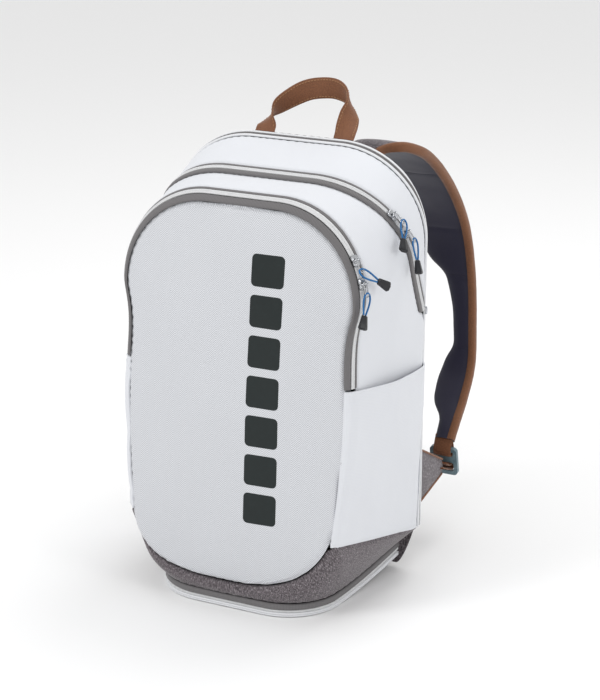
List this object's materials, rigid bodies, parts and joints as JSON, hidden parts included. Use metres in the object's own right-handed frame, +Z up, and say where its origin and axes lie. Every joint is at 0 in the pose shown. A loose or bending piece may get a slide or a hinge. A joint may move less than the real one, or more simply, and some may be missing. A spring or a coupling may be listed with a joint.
{
  "type": "racket backpack",
  "caption": "Racket backpack with zipped front pocket, arched main opening, side slot pockets, melange base band, webbing handle and curved padded straps",
  "frame": {"origin": "on the ground under the middle of the bounding box", "axes": "+Z up, -Y is the front with the large panel, +Y is the wearer's side with the straps, +X is the side with the zip sliders"},
  "size_m": [0.3353, 0.3921, 0.5629],
  "materials": {
    "white_fabric": "fine herringbone polyester, satin",
    "grey_tape": "woven zip tape and coil, matt",
    "melange_fabric": "melange weave, matt",
    "lining_fabric": "plain lining, matt",
    "back_foam": "spacer mesh over foam, matt",
    "board_plastic": "sheet plastic, matt",
    "navy_padding": "smooth padded lining, satin",
    "tan_webbing": "ribbed webbing, matt",
    "slate_plastic": "moulded, satin",
    "slider_metal": "plated, polished",
    "blue_cord": "braided cord",
    "black_plastic": "faceted, satin"
  },
  "bodies": {
    "bag_body": {"back_board": "back_foam", "back_gusset": "melange_fabric", "back_pad_left": "back_foam", "back_pad_right": "back_foam", "back_panel": "melange_fabric", "base_band": "melange_fabric", "base_board": "board_plastic", "base_heel": "melange_fabric", "base_tray": "white_fabric", "base_zip": "grey_tape", "divider": "lining_fabric", "front_panel_lower": "white_fabric", "main_zip": "grey_tape", "pocket_wall_lower": "lining_fabric", "rear_zip": "grey_tape", "side_left": "white_fabric", "side_pocket_left": "white_fabric", "side_pocket_right": "white_fabric", "side_right": "white_fabric", "strap_anchor_left": "tan_webbing", "strap_anchor_right": "tan_webbing", "top_gusset": "white_fabric"},
    "main_lid": {"lid_gusset": "white_fabric", "front_zip": "grey_tape", "pocket_wall_upper": "lining_fabric"},
    "front_pocket_flap": {"front_flap": "white_fabric"},
    "slider_front_upper": {"slider_front_upper": "slider_metal"},
    "slider_front_lower": {"slider_front_lower": "slider_metal"},
    "slider_main_upper": {"slider_main_upper": "slider_metal"},
    "slider_main_lower": {"slider_main_lower": "slider_metal"},
    "slider_rear": {"slider_rear": "slider_metal"},
    "slider_base": {"slider_base": "slider_metal"},
    "pull_front_upper": {"pull_wire_front_upper": "slider_metal", "pull_cord_front_upper": "blue_cord", "pull_tip_front_upper": "black_plastic"},
    "pull_front_lower": {"pull_wire_front_lower": "slider_metal", "pull_cord_front_lower": "blue_cord", "pull_tip_front_lower": "black_plastic"},
    "pull_main_upper": {"pull_wire_main_upper": "slider_metal", "pull_cord_main_upper": "blue_cord", "pull_tip_main_upper": "black_plastic"},
    "pull_main_lower": {"pull_wire_main_lower": "slider_metal", "pull_cord_main_lower": "blue_cord", "pull_tip_main_lower": "black_plastic"},
    "pull_rear": {"pull_wire_rear": "slider_metal"},
    "pull_base": {"pull_wire_base": "slider_metal"},
    "carry_handle": {"carry_handle": "tan_webbing"},
    "strap_left": {"strap_pad_left": "navy_padding", "strap_cover_left": "melange_fabric", "strap_tab_left": "tan_webbing", "adjuster_webbing_left": "tan_webbing", "strap_wing_left": "melange_fabric"},
    "ladder_lock_left": {"ladder_lock_left": "slate_plastic"},
    "strap_right": {"strap_pad_right": "navy_padding", "strap_cover_right": "melange_fabric", "strap_tab_right": "tan_webbing", "adjuster_webbing_right": "tan_webbing", "strap_wing_right": "melange_fabric"},
    "ladder_lock_right": {"ladder_lock_right": "slate_plastic"}
  },
  "joints": [
    {"name": "main_opening", "type": "hinge", "parent": "bag_body", "child": "main_lid", "pos_m": [0, -0.18769, 0.268], "axis": [1, 0, 0], "range_deg": [0, 22]},
    {"name": "front_pocket_opening", "type": "hinge", "parent": "main_lid", "child": "front_pocket_flap", "pos_m": [0, -0.18769, 0.268], "axis": [1, 0, 0], "range_deg": [0, 28]},
    {"name": "front_upper_travel", "type": "hinge", "parent": "main_lid", "child": "slider_front_upper", "pos_m": [0.04212, -0.1582, 0.35678], "axis": [0, -0.997, 0.0774], "range_deg": [0, 50]},
    {"name": "front_lower_travel", "type": "hinge", "parent": "main_lid", "child": "slider_front_lower", "pos_m": [0.0415, -0.15822, 0.3565], "axis": [0, 0.997, -0.0774], "range_deg": [0, 14]},
    {"name": "main_upper_travel", "type": "hinge", "parent": "main_lid", "child": "slider_main_upper", "pos_m": [0.06091, -0.05244, 0.38342], "axis": [0, -0.9119, -0.4104], "range_deg": [0, 30]},
    {"name": "main_lower_travel", "type": "hinge", "parent": "main_lid", "child": "slider_main_lower", "pos_m": [0.06514, -0.0532, 0.38511], "axis": [0, 0.9119, 0.4104], "range_deg": [0, 14]},
    {"name": "rear_zip_travel", "type": "slide", "parent": "bag_body", "child": "slider_rear", "axis": [-0.0105, -0.0175, 0.9998], "range_m": [0, 0.05]},
    {"name": "base_zip_travel", "type": "slide", "parent": "bag_body", "child": "slider_base", "axis": [0.1105, -0.9789, -0.1721], "range_m": [0, 0.06]},
    {"name": "front_upper_pull_lift", "type": "hinge", "parent": "slider_front_upper", "child": "pull_front_upper", "pos_m": [0.13684, -0.15746, 0.40572], "axis": [-0.3882, -0.9124, -0.13], "range_deg": [0, 100]},
    {"name": "front_lower_pull_lift", "type": "hinge", "parent": "slider_front_lower", "child": "pull_front_lower", "pos_m": [0.14612, -0.15868, 0.38151], "axis": [-0.333, -0.9429, -0.0062], "range_deg": [0, 100]},
    {"name": "main_upper_pull_lift", "type": "hinge", "parent": "slider_main_upper", "child": "pull_main_upper", "pos_m": [0.14153, -0.07638, 0.43703], "axis": [0.0196, -0.9175, -0.3972], "range_deg": [0, 100]},
    {"name": "main_lower_pull_lift", "type": "hinge", "parent": "slider_main_lower", "child": "pull_main_lower", "pos_m": [0.15367, -0.06744, 0.41687], "axis": [0.0062, -0.9129, -0.4081], "range_deg": [0, 100]},
    {"name": "rear_pull_lift", "type": "hinge", "parent": "slider_rear", "child": "pull_rear", "pos_m": [-0.15167, -0.00118, 0.08658], "axis": [0.1398, 0.99, 0.0188], "range_deg": [0, 100]},
    {"name": "base_pull_lift", "type": "hinge", "parent": "slider_base", "child": "pull_base", "pos_m": [-0.12351, -0.02489, 0.02059], "axis": [-0.0193, 0.171, -0.9851], "range_deg": [0, 100]},
    {"name": "handle_swing", "type": "hinge", "parent": "bag_body", "child": "carry_handle", "pos_m": [0, -0.0124, 0.5], "axis": [1, 0, 0], "range_deg": [-28, 55]},
    {"name": "strap_swing_left", "type": "hinge", "parent": "bag_body", "child": "strap_left", "pos_m": [-0.134, 0.0146, 0.113], "axis": [0.1883, 0.0054, 0.9821], "range_deg": [-10, 10]},
    {"name": "lock_tilt_left", "type": "hinge", "parent": "strap_left", "child": "ladder_lock_left", "pos_m": [-0.124, 0.1146, 0.1105], "axis": [1, 0, 0], "range_deg": [0, 25]},
    {"name": "strap_swing_right", "type": "hinge", "parent": "bag_body", "child": "strap_right", "pos_m": [0.134, 0.0146, 0.113], "axis": [-0.1883, 0.0054, 0.9821], "range_deg": [-10, 10]},
    {"name": "lock_tilt_right", "type": "hinge", "parent": "strap_right", "child": "ladder_lock_right", "pos_m": [0.124, 0.1146, 0.1105], "axis": [1, 0, 0], "range_deg": [0, 25]}
  ]
}
